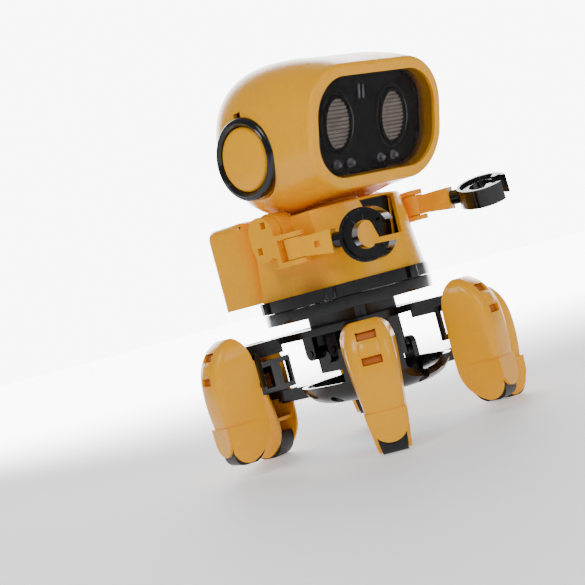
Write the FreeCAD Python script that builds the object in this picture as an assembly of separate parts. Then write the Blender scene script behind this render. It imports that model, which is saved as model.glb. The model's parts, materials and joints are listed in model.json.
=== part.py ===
"""Six-legged walking robot toy built from a kit.

Frame: millimetres, +Z up, the face looks along -Y and the robot's right hand is on -X.  The origin lies on
the floor under the axis that the torso turns on.  Legs are named by tripod: tripod A carries three legs and
stands low and forward at rest, tripod B carries the other three and is lifted and set back.
"""
import FreeCAD, Part
import os
from math import acos, atan2, cos, degrees, hypot, pi, radians, sin, sqrt, tan

V = FreeCAD.Vector
AXIS_X, AXIS_Y, AXIS_Z = V(1, 0, 0), V(0, 1, 0), V(0, 0, 1)

# ---------------------------------------------------------------- driving dimensions
play = 0.05                 # radial clearance of a shaft that turns
seat = 0.02                 # gap round a piece that is glued or snapped in
air = 0.4                   # gap between pieces that move past each other
wall = 1.8                  # moulded wall

# waist: two stacked bands that turn against each other
band_radius = 36.0
band_bottom = 56.0
band_height = 5.0
band_gap = 0.3
band_floor = 2.0
pivot_radius = 6.0
cable_radius = 4.0

# leg drive
throw = 6.0                 # crank radius
rest_angle = 208.0          # where tripod A's crank pins stand at rest, from +Y towards +Z
crank_span = 14.0           # between the two crank shafts
crank_height = 38.0
shaft_radius = 1.5
pin_radius = 1.4
core_half_x = 12.0
core_half_y = 17.0
core_bottom = 31.5
arm_thickness = 2.0
lug_thickness = 3.0
lug_radius = 2.9

# gears of the leg drive
gear_module = 0.6
crank_teeth = 14
pinion_teeth = 8
gear_width = 2.3
backlash = 0.14

# gears that turn the torso
turn_module = 0.8
ring_teeth = 60
turn_teeth = 12
ring_depth = 2.8
screw_head = 1.2            # sunk into the band's floor, under the pinion's path

# tripod frames
plate_thickness = 3.0
upper_plate_bottom = 45.5
dish_bottom = 22.0
dish_rim_top = 30.6
dish_radius = 32.0
dish_floor_radius = 22.0
post_depth = 1.8
wing_half = 12.2            # the bracket's plate shows on both sides of the leg
bar_width = 7.0

# legs
leg_ring_radius = 61.0
first_leg_angle = -46.0     # from the front towards the robot's left
leg_height = 51.0
seam_height = 16.4
leg_wall = 1.6
pad_height = 10.0
slot_heights = (35.8, 47.4)
strip_half = 4.4
toe_half_top = 8.3
toe_half_tip = 6.2

# torso
torso_top = 98.0
torso_top_radius = 32.0
torso_bottom_radius = 35.0
shoulder_flat = 27.0
neck_radius = 15.0
torso_screw_places = [(x, y) for x in (-24.0, 24.0) for y in (-18.0, 19.0)]
board_post_places = [(x, z) for x in (-14.0, 14.0) for z in (74.0, 92.0)]
board_front = -15.6
neck_top = 103.0

# battery box: three AAA cells lying across the back
cell_radius = 5.25
cell_length = 44.5
box_half_width = 25.3
box_front = 27.0
box_back = 52.0
box_bottom = 66.6
box_top = 102.4
door_depth = 4.5

# head
crown_height = 161.0
rim_tilt = 17.4
rim_half_width = 39.4
rim_half_height = 24.6
rim_centre = (-42.3, 125.1)
rim_band = 4.6
rim_round = 1.8
head_wall = 2.2
ear_radius = 17.0
ear_cap_radius = 13.2
ear_place = (-1.8, 124.5)
ear_face = 40.2
lens_radius = 10.5

# arms
shoulder_place = (1.0, 93.5)
shoulder_radius = 7.2
shoulder_drop = 4.6
arm_inner = 33.4
arm_plate = 5.0
claw_radius = 10.7
claw_bore = 5.6
claw_width = 8.0
claw_reach = 31.4

# values that follow
post_inner = leg_ring_radius - 12.2
lower_band_top = band_bottom + band_height
upper_band_bottom = lower_band_top + band_gap
upper_band_top = upper_band_bottom + band_height
crank_side = core_half_x + 0.35
pin_side = crank_side + arm_thickness
lug_side = pin_side + 0.3
pin_end = lug_side + lug_thickness + 0.5
strip_x = pin_end + air     # how far out a frame's opening must clear the crank pins
offset_a = V(0, throw * cos(radians(rest_angle)), throw * sin(radians(rest_angle)))
offset_b = offset_a * -1
lift_mean = -offset_a.z      # mean height of the feet over the floor


# ---------------------------------------------------------------- plain shapes
def box(x0, x1, y0, y1, z0, z1):
    return Part.makeBox(x1 - x0, y1 - y0, z1 - z0, V(x0, y0, z0))


def rod(radius, start, end):
    """A round bar between two points."""
    start, end = V(*start), V(*end)
    return Part.makeCylinder(radius, (end - start).Length, start, end - start)


def tube(outer, inner, start, end):
    return rod(outer, start, end).cut(rod(inner, start, end))


def soften(shape, radius, wanted):
    """Round the edges that the test picks out."""
    edges = [edge for edge in shape.Edges if wanted(edge)]
    return shape.makeFillet(radius, edges) if edges else shape


def straight_along(edge, axis):
    if not isinstance(edge.Curve, Part.Line):
        return False
    return abs(abs(edge.Curve.Direction.dot(axis)) - 1) < 1e-6


def upright(edge):
    return straight_along(edge, AXIS_Z)


def pillow(x0, x1, y0, y1, z0, z1, corner):
    """A box whose upright edges are rounded."""
    return soften(box(x0, x1, y0, y1, z0, z1), corner, upright)


def outline(points, closed=True):
    """A wire of straight runs and arcs: a point given as (middle, end) is reached by an arc."""
    edges = []
    here = points[0]
    for step in points[1:]:
        if isinstance(step[0], tuple):
            edges.append(Part.Arc(V(*here), V(*step[0]), V(*step[1])).toShape())
            here = step[1]
        else:
            edges.append(Part.LineSegment(V(*here), V(*step)).toShape())
            here = step
    if closed and V(*here).distanceToPoint(V(*points[0])) > 1e-6:
        edges.append(Part.LineSegment(V(*here), V(*points[0])).toShape())
    return Part.Wire(edges)


def prism(points, direction):
    return Part.Face(outline(points)).extrude(V(*direction))


def mirrored(shape):
    return shape.mirror(V(0, 0, 0), AXIS_X)


def joined(shapes):
    return shapes[0].multiFuse(shapes[1:]).removeSplitter() if len(shapes) > 1 else shapes[0]


def save(name, shape):
    shape.exportStep("parts/" + name + ".step")


# ---------------------------------------------------------------- gears
def involute_gap(teeth, module, radius, thinning):
    """Half the angle of a tooth at a radius, for a 20 degree involute."""
    base = teeth * module / 2 * cos(radians(20))
    pitch_half = pi / (2 * teeth) - thinning / (teeth * module)
    pitch_roll = tan(radians(20)) - radians(20)
    slope = acos(min(1.0, base / max(radius, base)))
    return pitch_half + pitch_roll - (tan(slope) - slope)


def gear(teeth, module, width, turned=0.0, tip=0.75, root=1.1, thinning=backlash):
    """A spur gear along +X with a tooth at +Y, turned by an angle in degrees towards +Z."""
    pitch = teeth * module / 2
    tip_radius = pitch + tip * module
    root_radius = pitch - root * module
    steps = 4
    points = []
    for tooth in range(teeth):
        middle = 2 * pi * tooth / teeth + radians(turned)
        for side in (-1, 1):
            radii = [root_radius + (tip_radius - root_radius) * step / steps for step in range(steps + 1)]
            for radius in (radii if side < 0 else reversed(radii)):
                angle = middle + side * involute_gap(teeth, module, radius, thinning)
                points.append((0, radius * cos(angle), radius * sin(angle)))
    return prism(points, (width, 0, 0))


def laid_flat(shape):
    """Turn a gear that lies along +X so that it lies along +Z, with its first tooth at +Y."""
    return shape.rotated(V(0, 0, 0), AXIS_Y, -90).rotated(V(0, 0, 0), AXIS_Z, 180).mirror(V(0, 0, 0), AXIS_Y)


# ---------------------------------------------------------------- waist and gearbox
turn_radius = (ring_teeth - turn_teeth) * turn_module / 2
ring_pitch = ring_teeth * turn_module / 2
screw_places = [(x, y) for x in (-9.4, 9.4) for y in (-14.4, 14.4)]


def lower_band():
    """The band that the gearbox hangs from, with the fixed toothed ring and the hollow pivot."""
    floor = rod(band_radius, (0, 0, band_bottom), (0, 0, band_bottom + wall))
    rim = tube(band_radius, band_radius - wall, (0, 0, band_bottom), (0, 0, lower_band_top))
    ring_outer = ring_pitch + 3.6
    ring_blank = rod(ring_outer, (0, 0, band_bottom + wall), (0, 0, band_bottom + wall + ring_depth))
    space = laid_flat(gear(ring_teeth, turn_module, ring_depth, 0.0, 1.1, 0.7, -backlash))
    ring = ring_blank.cut(space.translated(V(0, 0, band_bottom + wall)))
    pivot = rod(pivot_radius, (0, 0, band_bottom), (0, 0, upper_band_top + 2.2))
    body = joined([floor, rim, ring, pivot])
    body = body.cut(rod(cable_radius, (0, 0, band_bottom - 1), (0, 0, upper_band_top + 4)))
    for x, y in screw_places:
        body = body.cut(rod(1.1, (x, y, band_bottom - 1), (x, y, band_bottom + 4)))
        body = body.cut(rod(2.0, (x, y, band_bottom + wall - screw_head), (x, y, band_bottom + wall)))
    return body


def gearbox():
    """The hollow core, in two halves that part along the middle plane."""
    outer = pillow(-core_half_x, core_half_x, -core_half_y, core_half_y, core_bottom, band_bottom, 4.0)
    inner = pillow(-core_half_x + wall, core_half_x - wall, -core_half_y + wall, core_half_y - wall,
                   core_bottom + wall, band_bottom - wall, 2.4)
    hollow = outer.cut(inner)
    towers = [rod(2.6, (x, y, core_bottom + wall), (x, y, band_bottom - wall)) for x, y in screw_places]
    bosses = []
    bearing_start = gear_start + gear_width + 0.25
    for y in (-crank_span / 2, crank_span / 2):
        for low, high in ((-core_half_x, -core_half_x + 3), (bearing_start, core_half_x)):
            bosses.append(rod(3.0, (low, y, crank_height), (high, y, crank_height)))
    body = joined([hollow] + [tower.common(outer) for tower in towers] + bosses)
    for y in (-crank_span / 2, crank_span / 2):
        ends = (-core_half_x - 1, y, crank_height), (core_half_x + 1, y, crank_height)
        body = body.cut(rod(shaft_radius + play, *ends))
    body = body.cut(rod(cable_radius - 0.8, (0, 0, band_bottom - 4), (0, 0, band_bottom + 1)))
    for x, y in screw_places:
        body = body.cut(rod(0.9, (x, y, band_bottom - 7), (x, y, band_bottom + 1)))
    far = 60
    right = body.common(box(-far, -seat, -far, far, 0, far * 2))
    left = body.common(box(seat, far, -far, far, 0, far * 2))
    return right, left


def gearbox_screws():
    screws = []
    for x, y in screw_places:
        top = band_bottom + wall
        head = rod(1.9, (x, y, top - screw_head), (x, y, top))
        shank = rod(0.9, (x, y, band_bottom - 6.5), (x, y, top - screw_head))
        cross = box(x - 1.1, x + 1.1, y - 0.25, y + 0.25, top - 0.6, top + 1)
        screws.append(joined([head, shank]).cut(cross).cut(cross.rotated(V(x, y, 0), AXIS_Z, 90)))
    return Part.makeCompound(screws)


# ---------------------------------------------------------------- leg drive
crank_pitch = crank_teeth * gear_module / 2
pinion_pitch = pinion_teeth * gear_module / 2
idler_height = crank_height + sqrt((2 * crank_pitch) ** 2 - (crank_span / 2) ** 2)
pinion_height = idler_height + crank_pitch + pinion_pitch
gear_start = core_half_x - wall - 0.5 - gear_width
motor_length = gear_start - 0.6 + core_half_x - wall - 0.3


def tooth_against(own_teeth, other_teeth, other_turned, direction):
    """How far to turn a gear so that its gap faces the tooth of the gear it meets in a direction."""
    other_phase = (direction - other_turned) * other_teeth / 360.0
    return direction + 180 - (0.5 - other_phase) * 360.0 / own_teeth


def drive_gears():
    """Both crank gears, the idler between them and the motor's pinion, all in one plane."""
    rise = idler_height - crank_height
    to_idler = degrees(atan2(rise, crank_span / 2))
    front_turned = 0.0
    idler_turned = tooth_against(crank_teeth, crank_teeth, front_turned, to_idler)
    rear_turned = tooth_against(crank_teeth, crank_teeth, idler_turned, -to_idler)
    pinion_turned = tooth_against(pinion_teeth, crank_teeth, idler_turned, 90.0)
    blanks = {
        "front_crank_gear": (crank_teeth, front_turned, -crank_span / 2, crank_height, shaft_radius),
        "rear_crank_gear": (crank_teeth, rear_turned, crank_span / 2, crank_height, shaft_radius),
        "idler_gear": (crank_teeth, idler_turned, 0, idler_height, None),
        "motor_pinion": (pinion_teeth, pinion_turned, 0, pinion_height, 0.75),
    }
    gears = {}
    for name, (teeth, turned, y, z, bore) in blanks.items():
        shape = gear(teeth, gear_module, gear_width, turned).translated(V(gear_start, y, z))
        if bore:
            shape = shape.cut(rod(bore, (gear_start - 1, y, z), (gear_start + gear_width + 1, y, z)))
        gears[name] = shape
    axle_end = core_half_x - wall - 0.05
    axle = rod(1.0, (gear_start - 1.2, 0, idler_height), (axle_end, 0, idler_height))
    gears["idler_gear"] = joined([gears["idler_gear"], axle])
    return gears


def drive_motor():
    """A flat-sided motor can with its shaft towards the gears."""
    start = -core_half_x + wall + 0.3
    can = box(start, start + motor_length, -6, 6, pinion_height - 5, pinion_height + 4.6)
    can = soften(can, 3.0, lambda edge: straight_along(edge, AXIS_X))
    shaft_start = start + motor_length
    shaft = rod(0.75, (shaft_start, 0, pinion_height), (gear_start + gear_width, 0, pinion_height))
    boss = rod(2.0, (shaft_start, 0, pinion_height), (shaft_start + 0.3, 0, pinion_height))
    return joined([can, shaft, boss])


def crank(y):
    """A crank shaft whose two arms stand opposite each other: one works each tripod."""
    centre = V(0, y, crank_height)
    pieces = [rod(shaft_radius, (-pin_side + 0.4, y, crank_height), (pin_side - 0.4, y, crank_height))]
    for side, offset in ((1, offset_a), (-1, offset_b)):
        pin = centre + offset
        low, high = sorted((side * crank_side, side * pin_side))
        pieces.append(rod(2.7, (low, y, crank_height), (high, y, crank_height)))
        pieces.append(rod(2.3, (low, pin.y, pin.z), (high, pin.y, pin.z)))
        angle = degrees(atan2(offset.z, offset.y))
        web = box(low, high, y, y + throw, crank_height - 2.1, crank_height + 2.1)
        pieces.append(web.rotated(centre, AXIS_X, angle))
        pieces.append(rod(pin_radius, (side * crank_side, pin.y, pin.z), (side * pin_end, pin.y, pin.z)))
    return joined(pieces)


# ---------------------------------------------------------------- legs
def at_leg(shape, angle):
    """Carry a shape made for a leg whose outward direction is +X to the leg's own azimuth."""
    return shape.rotated(V(0, 0, 0), AXIS_Z, angle - 90)


def leg_section(z, inner, outer, half_back, half_front, corner):
    """One level section of the shin cover: it narrows towards its rounded front."""
    draft = (half_back - half_front) / (outer - inner)
    half_turn = half_front + draft * corner
    k = corner * 0.3
    return outline([
        (inner, -half_back, z),
        (outer - corner, -half_turn, z),
        ((outer - k, -half_front + k, z), (outer, -half_front + corner, z)),
        (outer, half_front - corner, z),
        ((outer - k, half_front - k, z), (outer - corner, half_turn, z)),
        (inner, half_back, z),
    ])


def leg_body(inset, open_by=0.0):
    """The shin cover's outer body, or the space inside it: narrow at the seam, wide at the knee."""
    r = leg_ring_radius
    rows = [
        (seam_height, r - 11.0, r + 7.2, 8.4, 7.8, 2.6),
        (seam_height + 7.6, r - 10.6, r + 8.0, 9.4, 8.4, 3.2),
        (31.0, r - 10.2, r + 8.2, 10.2, 8.8, 3.8),
        (38.0, r - 9.8, r + 7.6, 10.8, 8.9, 4.2),
        (leg_height - 7.6, r - 9.0, r + 5.8, 10.9, 8.6, 4.4),
        (leg_height - 3.4, r - 7.4, r + 3.4, 9.6, 7.4, 4.0),
        (leg_height, r - 4.6, r - 0.2, 6.2, 5.0, 2.4),
    ]
    wires = []
    for z, inner, outer, half_back, half_front, corner in rows:
        level = z - inset * (z - seam_height) / (leg_height - seam_height)
        wires.append(leg_section(level, inner - open_by, outer - inset, half_back - inset, half_front - inset,
                                 max(corner - inset, 0.6)))
    return Part.makeLoft(wires, True, False)


def leg_shell():
    """The shin cover: an open-backed shell with a raised strip that ends in two square-cut slots."""
    r = leg_ring_radius
    strip = box(r - 4, r + 20, -strip_half, strip_half, slot_heights[0], leg_height + 1)
    solid = joined([leg_body(0), leg_body(-0.45).common(strip)])
    opening = box(0, leg_ring_radius + 5, -6, 6, seam_height - 1, seam_height + 2)
    shell = solid.cut(leg_body(leg_wall, 3.0)).cut(opening)
    for slot in slot_heights:
        shell = shell.cut(box(leg_ring_radius - 1, leg_ring_radius + 14, -3.7, 3.7, slot - 1.5, slot + 1.5))
    return shell


def shifted(points, y):
    """Move a side outline to another width."""
    moved = []
    for point in points:
        if isinstance(point[0], tuple):
            moved.append(tuple((p[0], y, p[2]) for p in point))
        else:
            moved.append((point[0], y, point[2]))
    return moved


def toe_taper(inset, x0, x1):
    """The toe's front outline as a solid through its depth, narrower at the tip."""
    top, tip = toe_half_top - inset, toe_half_tip - inset
    corners = [(x0, -tip, -1), (x0, tip, -1), (x0, top, seam_height), (x0, -top, seam_height)]
    return prism(corners, (x1 - x0, 0, 0))


def toe_shell():
    """The toe: two side petals and a shorter front petal that grip the rubber foot."""
    r = leg_ring_radius
    petal = 1.4
    side = [
        (r - 11.0, -20, seam_height),
        (r + 7.2, -20, seam_height),
        (r + 6.4, -20, 6.5),
        ((r + 3.8, -20, 1.8), (r - 1.0, -20, 0.6)),
        ((r - 7.6, -20, 5.2), (r - 11.0, -20, seam_height)),
    ]
    sides = prism(side, (0, 40, 0)).common(toe_taper(0, r - 20, r + 20)).cut(toe_taper(petal, r - 20, r + 20))
    half = toe_half_top - 0.6
    front = prism([
        (r + 6.45, -half, seam_height),
        (r + 6.45, -half + 0.6, 10.0),
        ((r + 6.45, 0, 4.4), (r + 6.45, half - 0.6, 10.0)),
        (r + 6.45, half, seam_height),
    ], (1.3, 0, 0))
    roof_half = toe_half_top - petal
    roof = box(r - 9.0, r + 6.6, -roof_half, roof_half, seam_height - petal, seam_height)
    return joined([sides, front, roof.common(toe_taper(0, r - 20, r + 20))])


def foot_pad():
    """The rubber foot that the leg stands on, between the toe's petals."""
    r = leg_ring_radius
    profile = [
        (r - 7.8, -20, pad_height),
        ((r - 6.4, -20, 2.4), (r - 3.0, -20, 0)),
        (r + 2.0, -20, 0),
        ((r + 5.2, -20, 1.4), (r + 6.2, -20, 4.6)),
        (r + 6.4, -20, pad_height),
    ]
    return prism(profile, (0, 40, 0)).common(toe_taper(1.4 + seat, r - 20, r + 20))


def tripod(angles, make, offset):
    """Three copies of a leg piece, carried to the tripod's rest position."""
    shift = offset + V(0, 0, lift_mean)
    return [at_leg(make, angle).translated(shift) for angle in angles]


leg_angles_a = [first_leg_angle, first_leg_angle + 120, first_leg_angle + 240]
leg_angles_b = [angle + 60 for angle in leg_angles_a]


def bracket():
    """The plate and the two bars that hold one leg, in the leg's own direction."""
    half = bar_width / 2
    inside = leg_ring_radius + 3.0
    low_bar = box(post_inner, inside, -half, half, 27.6, 31.0)
    high_bar = box(post_inner, inside, -half, half, 41.5, 44.9)
    web = box(post_inner, inside, -1.1, 1.1, 31.0, 41.5)
    web = web.cut(box(post_inner + post_depth, inside - 3.5, -2, 2, 33.2, 39.4))
    plate = box(post_inner, post_inner + post_depth, -wing_half, wing_half, 31.0, 44.9)
    for side in (-1, 1):
        low, high = sorted((side * 3.6, side * (wing_half - 2.0)))
        window = box(post_inner - 1, post_inner + 4, low, high, 33.2, 42.6)
        plate = plate.cut(window)
    return joined([low_bar, high_bar, web, plate])


def lug(side, y, low, high, hanging):
    """A bearing ear for a crank pin."""
    x0, x1 = sorted((side * lug_side, side * (lug_side + lug_thickness)))
    eye = rod(lug_radius, (x0, y, crank_height), (x1, y, crank_height))
    stem = box(x0, x1, y - lug_radius, y + lug_radius, low, high)
    foot_low = high - 1.2 if hanging else low
    foot = box(x0, x1, y - lug_radius - 1.2, y + lug_radius + 1.2, foot_low, foot_low + 1.2)
    hole = rod(pin_radius + play, (x0 - 1, y, crank_height), (x1 + 1, y, crank_height))
    return joined([eye, stem, foot]).cut(hole)


pass_y = core_half_y + throw + air      # how far a frame's opening must clear the core
strip_y = crank_span / 2 + lug_radius + 2 * throw + air


def lower_frame():
    """Tripod A's frame: a dish under the gearbox, three brackets and the ears for the crank pins."""
    t = 2.0
    profile = [
        (0, 0, dish_bottom),
        (dish_floor_radius, 0, dish_bottom),
        ((dish_floor_radius + 5.5, 0, dish_bottom + 2.2), (dish_radius, 0, dish_rim_top)),
        (dish_radius - t, 0, dish_rim_top),
        ((dish_floor_radius + 4.2, 0, dish_bottom + 3.8), (dish_floor_radius - 1, 0, dish_bottom + t)),
        (0, 0, dish_bottom + t),
    ]
    dish = Part.Face(outline(profile)).revolve(V(0, 0, 0), AXIS_Z, 360)
    reach = 60
    dish = dish.common(box(-reach, reach, -28.0, reach, 0, 60))
    slot = box(-strip_x, -core_half_x - 0.1, -strip_y, strip_y, dish_bottom - 1, dish_rim_top + 1)
    dish = dish.cut(slot)
    for angle in leg_angles_b:
        for spread in (-17, 17):
            hole = rod(2.6, (26.5, 0, dish_bottom - 3), (26.5, 0, dish_rim_top + 3))
            dish = dish.cut(at_leg(hole, angle + spread))
    arms = []
    for angle in leg_angles_a:
        beam = box(dish_radius - 3.0, post_inner + 1, -bar_width / 2, bar_width / 2, 26.0, dish_rim_top)
        beam = beam.fuse(box(dish_radius - 4.0, post_inner + 1, -1.2, 1.2, 25.0, 28.0))
        arms.append(at_leg(joined([beam, bracket()]), angle))
    ears = [lug(1, y, dish_bottom + 0.5, crank_height, False) for y in (-crank_span / 2, crank_span / 2)]
    spur = box(core_half_x + air, lug_side + lug_thickness, -12, 12, dish_bottom + 0.2, dish_bottom + 3.4)
    return joined([dish, spur] + arms + ears).translated(offset_a)


def upper_frame():
    """Tripod B's frame: a plate round the gearbox, three brackets and the ears that hang from it."""
    z0, z1 = upper_plate_bottom, upper_plate_bottom + plate_thickness
    plate = rod(dish_radius + 0.6, (0, 0, z0), (0, 0, z1))
    plate = plate.common(box(-60, 60, -60, 27.6, 0, 60))
    window = box(-pin_side - 0.15, core_half_x + air, -pass_y, pass_y, z0 - 1, z1 + 1)
    strip = box(0, strip_x, -strip_y, strip_y, z0 - 1, z1 + 1)
    plate = plate.cut(window).cut(strip)
    arms = []
    for angle in leg_angles_b:
        half = bar_width / 2
        beam = box(dish_radius - 2.0, post_inner + 1, -half, half, z0, z1)
        keel = box(dish_radius + 1.5, post_inner + 1, -half, half, z0 - 3.0, z0)
        rise = box(post_inner, post_inner + 6, -half, half, 41.5, z1)
        arms.append(at_leg(joined([beam, keel, rise, bracket()]), angle))
    ears = [lug(-1, y, crank_height, z0 + 0.5, True) for y in (-crank_span / 2, crank_span / 2)]
    return joined([plate] + arms + ears).translated(offset_b)


# ---------------------------------------------------------------- torso
def cone(grow, low, high):
    """The torso's tapered round body, or its inside."""
    slope = (torso_bottom_radius - torso_top_radius) / (torso_top - upper_band_top)
    low_radius = torso_top_radius + slope * (torso_top - low) + grow
    high_radius = torso_top_radius + slope * (torso_top - high) + grow
    return Part.makeCone(low_radius, high_radius, high - low, V(0, 0, low), AXIS_Z)


def chest_shape(depth_front, depth_back, margin):
    """The tapered panel in the chest: wide under the chin and narrower below."""
    top, bottom = torso_top - 1.0 - margin, 80.5 + margin
    points = [
        (-10.3 + margin, depth_front, top),
        (10.3 - margin, depth_front, top),
        (7.0 - margin, depth_front, bottom),
        (-7.0 + margin, depth_front, bottom),
    ]
    return prism(points, (0, depth_back - depth_front, 0))


def torso():
    """The two torso covers, which part across the shoulders."""
    flats = box(-shoulder_flat, shoulder_flat, -60, 60, 0, 200)
    inner_flats = box(-shoulder_flat + wall, shoulder_flat - wall, -60, 60, 0, 200)
    outer = cone(0, upper_band_top, torso_top).common(flats)
    outer = soften(outer, 1.2, lambda edge: edge.BoundBox.ZMin > torso_top - 0.01)
    inner = cone(-wall, upper_band_top - 1, torso_top - wall).common(inner_flats)
    blocks = []
    for side in (-1, 1):
        y, z = shoulder_place
        low, high = sorted((side * (shoulder_flat - wall), side * (arm_inner - air)))
        blocks.append(rod(shoulder_radius + 0.8, (low, y, z), (high, y, z)))
        skirt = box(low, high, y - shoulder_radius + 2.5, y + shoulder_radius + 0.8, z - 15.0, z)
        blocks.append(skirt)
    neck = rod(neck_radius, (0, 0, torso_top - 1), (0, 0, neck_top))
    for x, y in torso_screw_places:
        blocks.append(rod(3.0, (x, y, upper_band_top), (x, y, upper_band_top + 8)).common(outer))
    for x, z in board_post_places:
        blocks.append(rod(1.8, (x, board_front, z), (x, -torso_bottom_radius, z)).common(outer))
    body = outer.cut(inner)
    body = joined([body, neck] + blocks)
    for x, y in torso_screw_places:
        body = body.cut(rod(1.0 + seat, (x, y, 0), (x, y, upper_band_top + 7)))
    body = body.cut(rod(neck_radius - wall, (0, 0, torso_top - 3), (0, 0, neck_top + 1)))
    body = body.cut(chest_shape(-60, -25.2, 0))
    pocket = chest_shape(-27.4, -23.4, -1.2)
    body = joined([body, pocket.common(outer)]).cut(chest_shape(-60, -25.2, 0))
    body = body.cut(pillow(-box_half_width - seat, box_half_width + seat, box_front - seat, 80,
                           box_bottom - 1, box_top + seat, 0.5))
    for side in (-1, 1):
        y, z = shoulder_place
        body = body.cut(rod(2.4 + play, (side * 20, y, z), (side * 60, y, z)))
    split = shoulder_place[0]
    front = body.common(box(-80, 80, -80, split - seat, 0, 200))
    back = body.common(box(-80, 80, split + seat, 80, 0, 200))
    return front, back


def chest_panel():
    panel = chest_shape(-27.4, -25.2 - seat, 0.15)
    panel = soften(panel, 1.2, lambda edge: straight_along(edge, AXIS_Y))
    groove = box(-20, 20, -29, -26.9, 86.2, 87.0)
    return panel.cut(groove)


def upper_band():
    """The band under the torso: a floor with the bearing for the pivot and clips round its rim."""
    floor_bottom = upper_band_top - band_floor
    rim = tube(band_radius, band_radius - wall, (0, 0, upper_band_bottom), (0, 0, upper_band_top))
    floor = rod(band_radius, (0, 0, floor_bottom), (0, 0, upper_band_top))
    hub = rod(10.0, (0, 0, upper_band_bottom), (0, 0, upper_band_top + 1.8))
    body = joined([rim, floor, hub])
    body = body.cut(rod(pivot_radius + play, (0, 0, 0), (0, 0, 100)))
    body = body.cut(rod(1.3, (0, turn_radius, 0), (0, turn_radius, 100)))
    for x, y in torso_screw_places:
        body = body.cut(rod(1.1, (x, y, 0), (x, y, 100)))
    for step in range(6):
        clip = pillow(band_radius - 1.0, band_radius + 1.8, -2.2, 2.2, upper_band_bottom + 0.2,
                      upper_band_top, 0.8)
        body = body.fuse(clip.rotated(V(0, 0, 0), AXIS_Z, 35 + 60 * step))
    return body.removeSplitter()


def turn_retainer():
    """The flanged bush that keeps the torso on its pivot."""
    top = upper_band_top + 2.2
    flange = rod(8.6, (0, 0, top), (0, 0, top + 1.4))
    skirt = rod(cable_radius, (0, 0, top - 5), (0, 0, top))
    return joined([flange, skirt]).cut(rod(cable_radius - 1.0, (0, 0, top - 6), (0, 0, top + 2)))


def turn_motor():
    low = upper_band_top + 0.05
    can = rod(7.2, (0, turn_radius, low), (0, turn_radius, low + 16))
    shaft = rod(1.0, (0, turn_radius, band_bottom + wall + 0.3), (0, turn_radius, low))
    return joined([can, shaft])


def turn_pinion():
    shape = laid_flat(gear(turn_teeth, turn_module, 2.2, 0.0))
    shape = shape.translated(V(0, turn_radius, band_bottom + wall + 0.4))
    return shape.cut(rod(1.0, (0, turn_radius, 0), (0, turn_radius, 100)))


# ---------------------------------------------------------------- battery box
cell_gap = 0.15
first_cell = box_bottom + wall + cell_gap + cell_radius
cell_heights = [first_cell + row * (2 * cell_radius + cell_gap) for row in range(3)]
cell_y = box_front + wall + cell_radius + 1.6
switch_place = (36.0, 88.0)


def battery_box():
    back = box_back - door_depth
    outer = pillow(-box_half_width, box_half_width, box_front, box_back, box_bottom, box_top, 6.0)
    outer = soften(outer, 4.0, lambda edge: edge.BoundBox.ZMin > box_top - 0.01
                   and edge.BoundBox.YMax > box_front + 1)
    body = outer.common(box(-60, 60, 0, back, 0, 200))
    inner = box(-box_half_width + wall, box_half_width - wall, box_front + wall, back + 1,
                box_bottom + wall, box_top - wall)
    body = body.cut(inner)
    y, z = switch_place
    window = box(box_half_width - 3, box_half_width + 1, y - 1.7 - play, y + 5.7 + play, z - 1.6, z + 1.6)
    body = body.cut(window)
    return body, outer


def battery_door(outer):
    """The rear cover, which slides up out of its grooves."""
    back = box_back - door_depth
    door = outer.common(box(-60, 60, back + 0.3, 100, 0, 200))
    inner = pillow(-box_half_width + 2.4, box_half_width - 2.4, back - 5, box_back - wall, box_bottom + wall,
                   box_top - wall, 3.0)
    door = door.cut(inner)
    for x in (-8, 0, 8):
        door = door.cut(box(x - 2.8, x + 2.8, box_back - 0.6, box_back + 1, box_top - 12, box_top - 10.6))
    return door


def battery_cells():
    cells = []
    half = cell_length / 2
    for row, z in enumerate(cell_heights):
        way = 1 if row % 2 == 0 else -1
        can = rod(cell_radius, (-way * half, cell_y, z), (way * (half - 0.9), cell_y, z))
        nipple = rod(1.9, (way * (half - 0.9), cell_y, z), (way * half, cell_y, z))
        cells.append(joined([can, nipple]))
    return Part.makeCompound(cells)


def power_switch():
    y, z = switch_place
    x = box_half_width
    plate = box(x - wall - 0.85, x - wall - play, y - 3.2, y + 3.2, z - 2.6, z + 2.6)
    knob = box(x - wall - 0.2, x + 1.4, y - 1.7, y + 1.7, z - 1.5, z + 1.5)
    grooves = [box(x + 1.0, x + 2, y + d - 0.2, y + d + 0.2, z - 2, z + 2) for d in (-0.8, 0, 0.8)]
    shape = joined([plate, knob])
    for groove in grooves:
        shape = shape.cut(groove)
    return shape


# ---------------------------------------------------------------- electronics
def main_board():
    board = box(-18, 18, board_front, board_front + 1.6, 70.5, 94.5)
    face = board_front + 1.6
    chips = [
        box(-11, -3, face, face + 1.6, 78, 86),
        box(3, 8, face, face + 1.4, 74, 77),
        box(4, 14, face, face + 4.0, 87, 92),
    ]
    return joined([board] + chips)


def speaker():
    z = 87.6
    frame = rod(8.0, (0, -23.3, z), (0, -21.8, z))
    magnet = rod(4.6, (0, -21.8, z), (0, -18.2, z))
    return joined([frame, magnet])


def torso_screws():
    """The screws that hold the torso covers down, driven up through the upper band's floor."""
    screws = []
    for x, y in torso_screw_places:
        floor_bottom = upper_band_top - band_floor
        head = rod(2.2, (x, y, floor_bottom - screw_head), (x, y, floor_bottom))
        shank = rod(1.0, (x, y, floor_bottom), (x, y, upper_band_top + 6.5))
        cross = box(x - 1.3, x + 1.3, y - 0.25, y + 0.25, floor_bottom - 2, floor_bottom - 0.6)
        screws.append(joined([head, shank]).cut(cross).cut(cross.rotated(V(x, y, 0), AXIS_Z, 90)))
    return Part.makeCompound(screws)


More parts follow.
